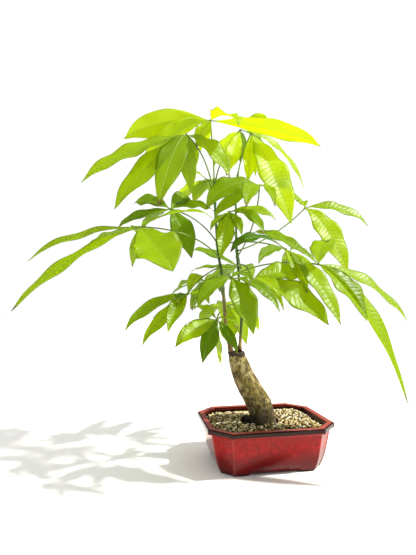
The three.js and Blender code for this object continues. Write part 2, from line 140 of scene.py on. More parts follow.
LEAVES = {
    "leaf_crown": leaf("stem_left", 460, 0.0, [-85, -10, 510], [-90, -10, 560],
        ([-230, -30, 515], 42, 20, BACK),
        ([-205, -30, 470], 36, 30, BACK_UP),
        ([-70, -120, 510], 40, 20, UP),
        ([95, -35, 525], 32, 10, BACK_UP),
        ([-95, 65, 540], 24, 10, UP),
        ([-120, -55, 500], 24, 10, UP_FRONT)),
    # Painted shade: this leaf's first two leaflets are set deep green where they lie in shade.
    "leaf_crown_right": leaf("stem_left", 445, (0.8, 0.8, 0.05, 0.1, 0.1), [-70, 30, 510], [-25, 40, 570],
        ([35, 75, 550], 24, 20, UP_FRONT),
        ([-5, 110, 540], 26, 20, UP),
        ([-65, -20, 470], 28, 5, FRONT),
        ([-60, 110, 530], 28, 20, UP),
        ([25, 25, 590], 20, 15, BACK)),
    "leaf_right_top": leaf("stem_right", 480, 0.05, [-30, 10, 520], [-15, 5, 550],
        ([30, -60, 385], 54, 30, FRONT_UP),
        ([85, 10, 465], 30, 40, [0.4, -1, 0.8]),
        ([-30, -25, 460], 26, 5, FRONT),
        ([10, 60, 500], 24, 15, UP)),
    "leaf_upper_left": leaf("stem_left", 430, 0.4, [-100, -30, 500], [-135, -50, 515],
        ([-180, -100, 395], 42, 45, FRONT_UP),
        ([-75, -85, 445], 38, 25, FRONT_UP),
        ([-285, -90, 425], 36, 25, FRONT_UP),
        ([-240, -90, 390], 40, 20, FRONT_UP),
        ([-115, 0, 480], 24, 10, UP),
        ([-125, -30, 435], 26, 10, FRONT)),
    "leaf_inner_left": leaf("stem_left", 355, 0.75, [-105, 0, 400], [-155, 0, 410],
        ([-215, 40, 430], 36, 10, FRONT_UP),
        ([-120, 65, 455], 30, 5, FRONT),
        ([-65, 75, 430], 34, 15, FRONT_UP),
        ([-240, 25, 385], 22, 10, FRONT_UP),
        ([-200, 70, 390], 22, 10, UP),
        ([-125, -40, 330], 36, 15, FRONT)),
    "leaf_long_left": leaf("stem_left", 330, 0.45, [-120, -50, 370], [-205, -70, 365],
        ([-360, -50, 320], 34, 20, [0, -0.5, 1]),
        ([-370, -85, 250], 30, 30, [0, -0.5, 1]),
        ([-165, -155, 300], 66, 0, [-0.1, -1, 0.7]),
        ([-285, -5, 340], 24, 10, UP),
        ([-215, -40, 315], 16, 5, FRONT),
        ([-205, 15, 370], 24, 10, UP_FRONT),
        ([-100, -80, 385], 26, 25, [0, -0.3, 1])),
    "leaf_back_middle": leaf("stem_right", 360, 0.7, [-30, 45, 350], [-20, 60, 320],
        ([-105, 90, 360], 28, 10, UP_FRONT),
        ([-105, 115, 320], 22, 10, UP_FRONT),
        ([30, 165, 300], 34, 35, UP),
        ([-30, 200, 285], 36, 45, UP),
        ([-75, 180, 270], 32, 35, UP)),
    "leaf_upper_front": leaf("stem_right", 335, 0.45, [-15, -30, 380], [-15, -40, 445],
        ([-105, -55, 405], 42, 35, FRONT_UP),
        ([-85, -15, 400], 22, 10, FRONT),
        ([80, -10, 420], 30, 20, FRONT_UP),
        ([-65, -135, 390], 26, 20, FRONT_UP),
        ([-20, -125, 395], 16, 20, FRONT_UP)),
    "leaf_upper_right": leaf("stem_right", 345, 0.4, [35, 30, 370], [95, 30, 430],
        ([205, 5, 400], 32, 30, [0, -1, 0.8]),
        ([145, -25, 310], 46, 40, [0, -1, 0.3]),
        ([110, 85, 455], 22, 10, UP)),
    "leaf_long_right": leaf("stem_left", 290, 0.5, [-20, -40, 330], [65, -80, 315],
        ([50, -140, 345], 36, 10, [0, 0.4, 1]),
        ([-15, 5, 380], 26, 20, FRONT_UP),
        ([50, -5, 350], 18, 15, UP),
        ([195, -110, 230], 36, 30, [0.3, -0.9, 1]),
        ([160, -150, 120], 32, 85, [0.5, -1, 0.6]),
        ([110, -135, 235], 44, 20, [0.2, -1, 0.7])),
    # Painted shade: these leaflets' values differ to make those in shade deeper green.
    "leaf_middle_front": leaf("stem_left", 350, (1.0, 0.6, 0.3, 0.3, 0.6), [-30, -50, 360], [20, -60, 340],
        ([-75, -85, 335], 26, 35, UP_FRONT),
        ([-45, -125, 315], 20, 15, FRONT_UP),
        ([65, -145, 230], 32, 30, FRONT_UP),
        ([30, -115, 275], 26, 15, FRONT_UP),
        ([55, 20, 305], 20, 5, UP)),
    "leaf_right_front": leaf("stem_right", 320, 0.35, [-40, -55, 320], [-45, -95, 290],
        ([40, -85, 300], 38, 10, FRONT_UP),
        ([55, -130, 230], 48, 20, FRONT_UP),
        ([-25, -150, 270], 22, 15, FRONT_UP),
        ([5, -90, 250], 20, 25, FRONT_UP)),
    "leaf_low_front": leaf("stem_left", 280, 0.65, [-75, -65, 310], [-80, -110, 290],
        ([-60, -150, 220], 36, 25, FRONT_UP),
        ([-130, -130, 255], 28, 15, UP_FRONT),
        ([-120, -80, 280], 20, 10, UP_FRONT),
        ([-30, -165, 250], 18, 20, FRONT_UP),
        ([-70, -170, 285], 20, 15, UP)),
    "leaf_low_left": leaf("stem_left", 315, 0.55, [-110, -25, 300], [-130, -30, 270],
        ([-100, 20, 305], 22, 10, UP_FRONT),
        ([-150, -65, 260], 18, 5, UP_FRONT),
        ([-225, -50, 220], 20, 20, FRONT_UP),
        ([-200, -60, 200], 22, 10, FRONT_UP),
        ([-165, -85, 220], 24, 15, FRONT_UP),
        ([-100, -55, 260], 22, 10, UP_FRONT)),
    # Painted shade: these leaflets' values differ to make those in shade deeper green.
    "leaf_trunk_top": leaf("stem_left", 240, (0.5, 0.8, 0.5, 0.95, 0.4, 0.9, 0.5),
        [-80, -25, 245], [-85, -40, 230],
        ([-110, 30, 250], 20, 15, UP_FRONT),
        ([-135, -10, 220], 16, 10, UP),
        ([-155, -90, 200], 28, 10, FRONT_UP),
        ([-115, -80, 175], 26, 10, FRONT),
        ([-65, 30, 155], 20, 5, [-1, -0.6, 0]),
        ([-60, -70, 185], 16, 10, FRONT),
        ([-70, -110, 225], 16, 15, UP_FRONT)),
    "leaf_back_low": leaf("stem_right", 240, 0.3, [-35, 55, 260], [-40, 80, 250],
        ([-30, 110, 180], 38, 5, FRONT),
        ([5, 110, 180], 36, 20, FRONT_UP),
        ([40, 140, 205], 30, 25, UP_BACK),
        ([-80, 150, 210], 34, 25, UP_BACK),
        ([-25, 195, 225], 34, 35, UP)),
    "leaf_back_left": leaf("stem_left", 260, 0.7, [-65, 30, 290], [-70, 55, 290],
        ([-110, 80, 250], 28, 15, UP_BACK),
        ([-130, 120, 285], 28, 20, UP),
        ([-95, 165, 245], 32, 35, UP),
        ([-150, 60, 270], 24, 20, UP)),
    "leaf_centre": leaf("stem_right", 370, 0.5, [-60, -15, 395], [-65, -40, 400],
        ([-90, -85, 325], 28, 15, FRONT),
        ([-50, -60, 365], 18, 5, FRONT),
        ([-100, -60, 370], 14, 5, UP_FRONT),
        ([5, -60, 390], 20, 15, FRONT_UP),
        ([-30, -105, 360], 26, 20, FRONT_UP)),
    "leaf_back_top": leaf("stem_left", 420, 0.3, [-85, 15, 460], [-85, 30, 470],
        ([-145, 5, 480], 26, 15, UP_FRONT),
        ([-105, 80, 445], 26, 15, UP_BACK),
        ([-130, 115, 450], 30, 20, UP),
        ([-55, 135, 470], 30, 30, UP),
        ([-25, 90, 470], 26, 20, UP)),
}

CAMERA_AIM = (-92, 0, 298)
CAMERA_TURN = -10.5
CAMERA_RISE = -3.66
CAMERA_DISTANCE = 661
CAMERA_LENS = 34.6
SUN_FROM = (0.60, -0.22, 0.76)
SUN_ENERGY = 6.5
SUN_ANGLE = 2.5
SUN_COLOUR = (1.0, 0.97, 0.9)
SKY_SLOPE = (0.2, 0.5, 0.8)
SKY_FROM = (-0.6, 0.3)
SKY_TO = (0.7, 1.1)
SKY_IN_GLOSS = 0.18

# ---------------------------------------------------------------- surfaces as arrays


class Shell:
    """Closed surfaces gathered for one piece: their vertices, faces, UVs and named values."""

    def __init__(self, **names):
        self.vertices = []
        self.faces = []
        self.uvs = []
        self.values = {name: [] for name in names}
        self.defaults = names
        self.count = 0

    def add(self, vertices, faces, uv=None, **values):
        """Adds one closed surface, with its faces turned so that it holds a positive volume."""
        vertices = np.asarray(vertices, float)
        turned = [np.asarray(block) for block in faces]
        if volume(vertices, turned) < 0:
            turned = [block[:, ::-1] for block in turned]
        self.faces += [(block + self.count).tolist() for block in turned]
        self.vertices.append(vertices)
        self.uvs.append(np.zeros((len(vertices), 2)) if uv is None else uv)
        for name, default in self.defaults.items():
            given = values.get(name, default)
            self.values[name].append(np.broadcast_to(given, len(vertices)).astype(float))
        self.count += len(vertices)

    def piece(self, name, material, slot, *nodes):
        """Makes the Blender object and hands it to the frame in place of its CAD nodes."""
        mesh = bpy.data.meshes.new(name)
        faces = [face for block in self.faces for face in block]
        mesh.from_pydata((np.concatenate(self.vertices) * MM).tolist(), [], faces)
        corners = np.empty(len(mesh.loops), int)
        mesh.loops.foreach_get("vertex_index", corners)
        layer = mesh.uv_layers.new(name="surface")
        layer.data.foreach_set("uv", np.concatenate(self.uvs)[corners].ravel())
        for value_name, blocks in self.values.items():
            attribute = mesh.attributes.new(value_name, "FLOAT", "POINT")
            attribute.data.foreach_set("value", np.concatenate(blocks))
        mesh.polygons.foreach_set("use_smooth", np.ones(len(mesh.polygons), bool))
        mesh.materials.append(material)
        made = linked(name, mesh)
        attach(made, "root")
        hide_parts(*nodes)
        return made


def volume(vertices, faces):
    """Six times the signed volume: the sum over all triangles of a . (b x c)."""
    total = 0.0
    for block in faces:
        for last in range(2, block.shape[1]):
            a = vertices[block[:, 0]]
            b = vertices[block[:, last - 1]]
            c = vertices[block[:, last]]
            total += np.sum(a * np.cross(b, c))
    return total


def ring_faces(rings, around):
    """Quads between neighbouring rings, and a fan from each end ring to its own pole, which
    are the last two vertices."""
    ring, side = np.meshgrid(np.arange(rings - 1), np.arange(around), indexing="ij")
    here = (ring * around + side).ravel()
    beside = (ring * around + (side + 1) % around).ravel()
    quads = np.stack([here, beside, beside + around, here + around], 1)
    first = np.arange(around)
    second = (first + 1) % around
    low_pole = np.full(around, rings * around)
    last = (rings - 1) * around
    start_fan = np.stack([low_pole, second, first], 1)
    end_fan = np.stack([low_pole + 1, last + first, last + second], 1)
    return [quads, start_fan, end_fan]


def closed_skin(rings):
    """A closed skin over an array of rings (rings, around, 3), capped at both ends."""
    count, around = rings.shape[:2]
    poles = np.stack([rings[0].mean(0), rings[-1].mean(0)])
    return np.concatenate([rings.reshape(-1, 3), poles]), ring_faces(count, around)


def with_poles(values):
    """A value per ring point, flattened, with the end rings' means for the two poles."""
    return np.concatenate([values.ravel(), [values[0].mean(), values[-1].mean()]])


def reaches(points):
    """How far along a chain of points each of them lies."""
    return np.concatenate([[0], np.cumsum(np.linalg.norm(np.diff(points, axis=0), axis=1))])


def skin_map(across, along, shape):
    """The UV map of a skin, poles included: each vertex's distances across and along it."""
    return np.stack([with_poles(np.broadcast_to(way, shape)) for way in (across, along)], 1)


def linked(name, data):
    """A new object, put into the scene."""
    made = bpy.data.objects.new(name, data)
    bpy.context.scene.collection.objects.link(made)
    return made


def unit(vectors):
    """Each vector divided by its length."""
    return vectors / np.linalg.norm(vectors, axis=-1, keepdims=True)


def arch(start, middle, end, along):
    """The quadratic arch through start and end that leans towards middle, and its direction."""
    t = along[:, None]
    place = (1 - t) ** 2 * start + 2 * t * (1 - t) * middle + t**2 * end
    heading = 2 * (1 - t) * (middle - start) + 2 * t * (end - middle)
    return place, unit(heading)


def tube_rings(centres, radii, around):
    """Circles of points square to a path. One spare direction sets where all of them start."""
    headings = unit(np.gradient(centres, axis=0))
    spare = np.array([0.3, -0.9, 0.2])
    side = unit(np.cross(headings, spare))
    upright = np.cross(side, headings)
    angle = np.linspace(0, 2 * np.pi, around, endpoint=False)[None, :, None]
    circle = np.cos(angle) * side[:, None] + np.sin(angle) * upright[:, None]
    return centres[:, None] + circle * np.reshape(radii, (-1, 1, 1))


def smooth(low, high, value):
    """0 below low, 1 above high, and an S-shaped rise between them."""
    t = np.clip((value - low) / (high - low), 0, 1)
    return t * t * (3 - 2 * t)


def ripple(x, y, z, scale, seed, octaves=3):
    """Smooth, repeatable lumps about one unit high: a sum of sine waves that run in seeded
    directions, with each octave twice as fine and half as strong."""
    rng = np.random.default_rng(seed)
    total = 0
    for octave in range(octaves):
        for _ in range(4):
            way = rng.normal(size=3)
            way *= 2**octave / scale / np.linalg.norm(way)
            wave = x * way[0] + y * way[1] + z * way[2]
            total = total + np.sin(2 * np.pi * wave + rng.uniform(0, 2 * np.pi)) / 2**octave
    return total / 4


# ---------------------------------------------------------------- shader expressions


class Wire:
    """A socket in a node tree that adds Math nodes when it is used in an expression."""

    def __init__(self, graph, socket):
        self.graph = graph
        self.socket = socket

    def math(self, operation, *others):
        values = {place: value for place, value in enumerate((self, *others))}
        return self.graph.add("ShaderNodeMath", {"operation": operation}, values)

    def __add__(self, other):
        return self.math("ADD", other)

    def __radd__(self, other):
        return self.math("ADD", other)

    def __sub__(self, other):
        return self.math("SUBTRACT", other)

    def __rsub__(self, other):
        return (self * -1) + other

    def __mul__(self, other):
        return self.math("MULTIPLY", other)

    def __rmul__(self, other):
        return self.math("MULTIPLY", other)

    def __truediv__(self, other):
        return self.math("DIVIDE", other)

    def __pow__(self, other):
        return self.math("POWER", other)

    def __abs__(self):
        return self.math("ABSOLUTE")

    def clipped(self):
        return self.math("MAXIMUM", 0).math("MINIMUM", 1)

    def between(self, low, high):
        """0 below low and 1 above high, with a smooth rise; low may be above high."""
        settings = {"interpolation_type": "SMOOTHSTEP"}
        inputs = {"Value": self, "From Min": low, "From Max": high}
        return self.graph.add("ShaderNodeMapRange", settings, inputs)


class Graph:
    """The nodes of one material, or of the world, added one call at a time."""

    def __init__(self, name, owners=bpy.data.materials, output="ShaderNodeOutputMaterial"):
        self.owner = owners.new(name)
        self.owner.use_nodes = True
        self.tree = self.owner.node_tree
        self.tree.nodes.clear()
        self.output = self.tree.nodes.new(output)

    def add(self, kind, settings=None, inputs=None, output=0):
        """A node of a kind with its settings made first, then its sockets' values or links."""
        node = self.tree.nodes.new(kind)
        for name, value in (settings or {}).items():
            if name == "stops":
                self.set_stops(node.color_ramp, value)
            else:
                setattr(node, name, value)
        for name, value in (inputs or {}).items():
            self.feed(node.inputs[name], value)
        return Wire(self, node.outputs[output])

    def feed(self, socket, value):
        if isinstance(value, Wire):
            self.tree.links.new(value.socket, socket)
        else:
            socket.default_value = value

    def set_stops(self, ramp, stops):
        while len(ramp.elements) < len(stops):
            ramp.elements.new(0.5)
        for element, (place, colour) in zip(ramp.elements, stops):
            element.position = place
            element.color = (*colour, 1)

    def place(self):
        return self.add("ShaderNodeTexCoord", output="Object")

    def value(self, name):
        return self.add("ShaderNodeAttribute", {"attribute_name": name}, output="Fac")

    def surface(self):
        """The piece's own UV map, split into its two distances."""
        uv = self.add("ShaderNodeUVMap", {"uv_map": "surface"})
        across = self.add("ShaderNodeSeparateXYZ", {}, {0: uv}, output=0)
        along = self.add("ShaderNodeSeparateXYZ", {}, {0: uv}, output=1)
        return across, along

    def vector(self, x, y):
        return self.add("ShaderNodeCombineXYZ", {}, {0: x, 1: y})

    def noise(self, vector, scale, detail=3.0, roughness=0.5):
        inputs = {"Vector": vector, "Scale": scale, "Detail": detail, "Roughness": roughness}
        return self.add("ShaderNodeTexNoise", {}, inputs)

    def cells(self, vector, scale):
        return self.add("ShaderNodeTexVoronoi", {}, {"Vector": vector, "Scale": scale})

    def mix(self, factor, first, second):
        """A colour between first and second."""
        settings = {"data_type": "RGBA"}
        return self.add("ShaderNodeMix", settings, {0: factor, 6: shade(first), 7: shade(second)}, 2)

    def ramp(self, factor, stops):
        return self.add("ShaderNodeValToRGB", {"stops": stops}, {0: factor})

    def coat(self, **inputs):
        """The main shader with its inputs by name, and _ for a space."""
        named = {name.replace("_", " "): value for name, value in inputs.items()}
        return self.add("ShaderNodeBsdfPrincipled", {}, named)

    def bump(self, height, distance, strength=1.0):
        inputs = {"Height": height, "Distance": distance, "Strength": strength}
        return self.add("ShaderNodeBump", {}, inputs)

    def finish(self, shader):
        self.feed(self.output.inputs["Surface"], shader)
        return self.owner


def shade(colour):
    """A plain colour with its alpha, or a wire as it is."""
    return colour if isinstance(colour, Wire) else (*colour, 1)


# ---------------------------------------------------------------- materials


def red_glaze():
    """Deep red gloss: darker towards the foot, speckled where the glaze crawled, pinkish brown
    where it breaks at the outer corners and over the lip's top as a painted highlight, almost
    black on the lip's outer face as a painted dark reflection, almost black inside the wall as
    painted shade, and almost black and rougher along the bottom 2 mm."""
    g = Graph("red_crackle_glaze")
    place = g.place()
    height = g.add("ShaderNodeSeparateXYZ", {}, {0: place}, output=2)
    clouds = g.noise(place, 28, 4)
    speckle = g.cells(place, 420).between(0.12, 0.42)
    mottle = g.noise(place, 230, 4, 0.65).between(0.36, 0.62)
    depth = (height / (POT_HEIGHT * MM) + (clouds - 0.5) * 0.55).clipped()
    red = g.ramp(depth, [(0.0, (0.07, 0.0, 0.0)), (0.3, (0.13, 0.0005, 0.0005)),
                         (0.58, (0.34, 0.001, 0.001)), (0.85, (0.30, 0.003, 0.002))])
    spotted = g.mix((1 - speckle) * 0.35 + (1 - mottle) * 0.55, red, (0.10, 0.0, 0.0))
    # Pinkish brown where the glaze breaks at the outer corners, and a painted highlight over the lip's
    # whole top.
    thin = g.value("thin")
    broken_and_highlit = g.mix((thin + (mottle - 0.5) * 0.3 * thin).clipped(), spotted, (0.34, 0.075, 0.05))
    # Painted dark reflection: the lip's outer face is made almost black.
    pooled = g.mix(g.value("pooled"), broken_and_highlit, (0.016, 0.002, 0.001))
    # Painted shade: the inside of the wall below the rim is made almost black.
    inside_shade = g.mix(g.value("inner"), pooled, (0.008, 0.002, 0.001))
    # Almost black and rougher along the bottom 2 mm.
    foot_band = (height - g.noise(place, 90) * 0.0012).between(0.0022, 0.0010)
    colour = g.mix(foot_band, inside_shade, (0.012, 0.005, 0.004))
    wavy = g.bump(clouds * 0.6 + mottle * 0.12 + speckle * 0.1, 0.0012, 0.55)
    return g.finish(g.coat(
        Base_Color=colour,
        Roughness=0.11 + mottle * 0.05 + foot_band * 0.6,
        Normal=wavy,
        Specular_IOR_Level=0.22,
    ))


def dark_soil():
    """Black-brown crumbs with a few paler fibres."""
    g = Graph("dark_potting_soil")
    place = g.place()
    crumbs = g.noise(place, 420, 6, 0.7)
    clods = g.cells(place, 260)
    colour = g.ramp(crumbs, [(0.32, (0.003, 0.002, 0.0015)), (0.55, (0.012, 0.008, 0.005)),
                             (0.72, (0.04, 0.025, 0.012))])
    relief = g.bump(crumbs + clods * 0.6, 0.003)
    return g.finish(g.coat(
        Base_Color=colour, Roughness=0.85 + crumbs * 0.1, Normal=relief,
    ))


def cream_gravel():
    """Each grain has a tone of its own, from cream through tan to umber, with fine dust; the lower
    layer's tones are pushed dark as painted shade between the upper grains.
    """
    g = Graph("cream_gravel")
    place = g.place()
    grain = g.noise(place, 900, 4, 0.6)
    tone = (g.value("tone") + (grain - 0.5) * 0.3).clipped()
    colour = g.ramp(tone, [(0.0, (0.03, 0.018, 0.004)), (0.2, (0.16, 0.10, 0.02)),
                           (0.42, (0.42, 0.30, 0.09)), (0.7, (0.72, 0.58, 0.30)),
                           (1.0, (0.92, 0.84, 0.66))])
    relief = g.bump(grain, 0.0008, 0.6)
    return g.finish(g.coat(
        Base_Color=colour, Roughness=0.62 + grain * 0.25, Normal=relief,
    ))


def olive_bark():
    """Smooth olive bark with dark upright flecks, pale patches of lichen all round, a foot
    darkened as painted shade and a dark collar around the sawn top."""
    g = Graph("olive_bark")
    across, along = g.surface()
    place = g.place()
    height = g.add("ShaderNodeSeparateXYZ", {}, {0: place}, output=2)
    grain = g.vector(across, along * 0.22)
    flecks = g.noise(grain, 520, 5, 0.7)
    streaks = g.noise(grain, 170, 4, 0.6)
    blotches = g.noise(place, 60, 4, 0.6)
    olive = g.ramp(streaks, [(0.28, (0.035, 0.026, 0.002)), (0.5, (0.13, 0.095, 0.006)),
                             (0.72, (0.27, 0.20, 0.025))])
    lichen = blotches.between(0.54, 0.42)
    pale = g.mix(lichen * 0.7, olive, (0.46, 0.37, 0.16))
    fleck_mask = flecks.between(0.49, 0.57)
    flecked = g.mix(fleck_mask * 0.85, pale, (0.014, 0.009, 0.001))
    scars = blotches.between(0.55, 0.64) * 0.7
    scarred = g.mix(scars, flecked, (0.03, 0.021, 0.003))
    # Painted shade: the trunk is darkened from 100 mm down, fully below 74 mm, towards the gravel.
    painted_foot_shade = (height + (streaks - 0.5) * 0.03).between(0.100, 0.074)
    footed = g.mix(painted_foot_shade * 0.7, scarred, (0.012, 0.008, 0.003))
    collar = (height + (streaks - 0.5) * 0.008).between(0.1675, 0.1700)
    sawn = g.mix(collar, footed, (0.028, 0.013, 0.003))
    relief = g.bump(streaks * 0.7 + flecks * 0.5 + blotches * 0.4, 0.0022, 0.8)
    return g.finish(g.coat(
        Base_Color=sawn, Roughness=0.72 + flecks * 0.2, Normal=relief,
    ))


def green_stem():
    """Olive-brown bark at the foot that turns green further up, with pale lenticels."""
    g = Graph("young_stem_bark")
    across, along = g.surface()
    grain = g.vector(across, along * 0.25)
    streaks = g.noise(grain, 700, 4, 0.65)
    greening = (g.value("greening") + (streaks - 0.5) * 0.25).clipped()
    colour = g.ramp(greening, [
        (0.0, (0.10, 0.045, 0.008)), (0.15, (0.23, 0.13, 0.018)), (0.32, (0.13, 0.09, 0.010)),
        (0.5, (0.045, 0.085, 0.006)), (0.75, (0.018, 0.062, 0.004)), (1.0, (0.05, 0.14, 0.005))])
    lenticels = g.cells(grain, 300).between(0.16, 0.08)
    dotted = g.mix(lenticels * 0.4, colour, (0.42, 0.38, 0.16))
    relief = g.bump(streaks + lenticels * 0.5, 0.0006, 0.7)
    return g.finish(g.coat(
        Base_Color=dotted, Roughness=0.42 + streaks * 0.2, Normal=relief,
    ))


def leaf_tissue():
    """Soft, slightly glossy leaf: a pale midrib with slanting side veins that pucker the blade,
    duller and paler below, and light that shines through between the veins."""
    g = Graph("leaf_tissue")
    across, along = g.surface()
    place = g.place()
    age = g.value("age")
    stalk = g.value("stalk")
    upper = g.value("upper")
    edge = g.value("edge")
    vein_pitch = 0.0078
    slant = along - abs(across) * 0.62 + edge * edge * 0.0022
    step = (slant / vein_pitch).math("FRACT")
    off_vein = abs(step - 0.5) * 2
    vein = off_vein.between(0.80, 0.97) * (1 - edge * 0.35)
    midrib = abs(across).between(0.0011, 0.0004)
    patches = g.noise(place, 34, 3)
    mesh = g.noise(place, 520, 3, 0.6)
    young = g.mix(patches, (0.20, 0.30, 0.0), (0.30, 0.40, 0.0))
    old = g.mix(patches, (0.012, 0.06, 0.0005), (0.05, 0.15, 0.0005))
    # Yellow-green to deep green by the leaf's value, which is partly maturity and partly painted shade.
    blade = g.mix((age + (patches - 0.5) * 0.25).clipped(), young, old)
    netted = g.mix(mesh.between(0.45, 0.7) * 0.1, blade, (0.01, 0.07, 0.001))
    veined = g.mix(vein * 0.16, netted, (0.26, 0.42, 0.01))
    ribbed = g.mix(midrib * 0.4, veined, (0.34, 0.48, 0.04))
    below = g.mix((1 - upper) * 0.2, ribbed, (0.20, 0.34, 0.01))
    stalky = g.mix(stalk, below, g.mix(age, (0.15, 0.24, 0.004), (0.06, 0.11, 0.002)))
    tip_brown = g.value("browned")
    colour = g.mix((tip_brown + (mesh - 0.5) * tip_brown).clipped(), stalky, (0.09, 0.035, 0.008))
    pucker = (1 - off_vein**3) * (1 - edge * 0.3) - midrib * 0.8
    relief = g.bump((pucker + patches * 0.8) * (upper * 2 - 1), 0.0007, 0.5)
    gloss = g.coat(
        Base_Color=colour,
        Roughness=0.34 + mesh * 0.10 + (1 - upper) * 0.2,
        Normal=relief,
        Specular_IOR_Level=0.40,
    )
    through_young = g.add("ShaderNodeBsdfTranslucent", {}, {"Color": (0.90, 1.0, 0.0, 1)})
    through_old = g.add("ShaderNodeBsdfTranslucent", {}, {"Color": (0.46, 0.66, 0.0, 1)})
    through = g.add("ShaderNodeMixShader", {}, {0: age.clipped(), 1: through_young, 2: through_old})
    shining = 0.66 - age * 0.30 - vein * 0.06 - midrib * 0.2
    glow = shining * (1 - stalk) * (1 - tip_brown * 0.8)
    return g.finish(g.add("ShaderNodeMixShader", {}, {0: glow, 1: gloss, 2: through}))


def screen_plastic():
    """Matt black mesh, a little dusty."""
    g = Graph("screen_plastic")
    dust = g.noise(g.place(), 300, 3)
    colour = g.mix(dust, (0.012, 0.012, 0.013), (0.05, 0.045, 0.04))
    return g.finish(g.coat(
        Base_Color=colour, Roughness=0.45 + dust * 0.3,
    ))


def pale_paper():
    """The plain pale floor."""
    g = Graph("pale_floor")
    cloud = g.noise(g.place(), 2.0, 2)
    colour = g.mix(cloud, (0.90, 0.885, 0.86), (0.92, 0.905, 0.885))
    return g.finish(g.coat(
        Base_Color=colour, Roughness=0.55, IOR=1.3,
    ))


def white_surround():
    """The sky's light, which grows along its slope and is weaker in reflections. To the eye it
    is plain white."""
    g = Graph("white_surround", bpy.data.worlds, "ShaderNodeOutputWorld")
    direction = g.add("ShaderNodeTexCoord", output="Generated")
    along = g.add("ShaderNodeVectorMath", {"operation": "DOT_PRODUCT"},
                  {0: direction, 1: SKY_SLOPE}, output="Value")
    sky = g.add("ShaderNodeMapRange", {}, {
        "Value": along, "From Min": SKY_FROM[0], "From Max": SKY_TO[0],
        "To Min": SKY_FROM[1], "To Max": SKY_TO[1],
    })
    glossy = g.add("ShaderNodeLightPath", output="Is Glossy Ray")
    seen = g.add("ShaderNodeLightPath", output="Is Camera Ray")
    duller = g.add("ShaderNodeMapRange", {}, {"Value": glossy, "To Min": 1.0, "To Max": SKY_IN_GLOSS})
    strength = (sky * duller).math("MAXIMUM", seen)
    return g.finish(g.add("ShaderNodeBackground", {}, {"Color": (1, 1, 1, 1), "Strength": strength}))


# ---------------------------------------------------------------- pot


def pot_corner_points():
    """The 16 corners of the cut-corner outline as two arrays: the places at the lip's outer edge
    and how they move for each millimetre that the outline is drawn in."""
    slope = 2 - np.sqrt(2)
    half = np.array([POT_LENGTH / 2, POT_DEPTH / 2])
    start = np.array([
        [half[0], half[1] - CORNER_CUT],
        [half[0] - CORNER_STEP, half[1] - CORNER_CUT],
        [half[0] - CORNER_CUT, half[1] - CORNER_STEP],
        [half[0] - CORNER_CUT, half[1]],
    ])
    drawn = np.array([[-1, -1 + slope], [-1, -1 + slope], [-1 + slope, -1], [-1 + slope, -1]])
    signs = [((1, 1), 1), ((-1, 1), -1), ((-1, -1), 1), ((1, -1), -1)]
    starts = np.concatenate([(start * sign)[::order] for sign, order in signs])
    moves = np.concatenate([(drawn * sign)[::order] for sign, order in signs])
    return starts, moves


def pot_outline(inset, around=480):
    """The outline drawn in by each inset, with its corners softened: evenly spaced points along
    the 16-sided figure, blurred along the way by a bell curve about 1 mm wide."""
    starts, moves = pot_corner_points()
    reach = reaches(np.concatenate([starts, starts[:1]]))
    spots = np.linspace(0, reach[-1], around, endpoint=False)
    offsets = np.linspace(-2.4, 2.4, 9)
    weights = np.exp(-(offsets**2) / 1.6)
    weights /= weights.sum()
    blurred = []
    for corners in (starts, moves):
        loop = np.concatenate([corners, corners[:1]])
        columns = [
            sum(w * np.interp((spots + o) % reach[-1], reach, loop[:, axis])
                for w, o in zip(weights, offsets))
            for axis in (0, 1)
        ]
        blurred.append(np.stack(columns, -1))
    inset = np.asarray(inset, float)[:, None, None]
    return blurred[0][None] + inset * blurred[1][None]


def wall_inset(z):
    """How far the wall's outside is drawn in at height z: a steady lean that curves in below."""
    under_lip = POT_HEIGHT - LIP_THICKNESS
    down = (under_lip - np.asarray(z, float)) / under_lip
    return LIP_OVERHANG + 11 * down + 5 * down**5


def foot_lift(x, y):
    """How far the bottom is raised off the table: nothing at the four feet, all between them."""
    along_x = smooth(POT_LENGTH / 2 - FOOT_LENGTH, POT_LENGTH / 2 - FOOT_LENGTH + 9, np.abs(x))
    along_y = smooth(POT_DEPTH / 2 - FOOT_DEPTH, POT_DEPTH / 2 - FOOT_DEPTH + 9, np.abs(y))
    return FOOT_HEIGHT * (1 - along_x * along_y)


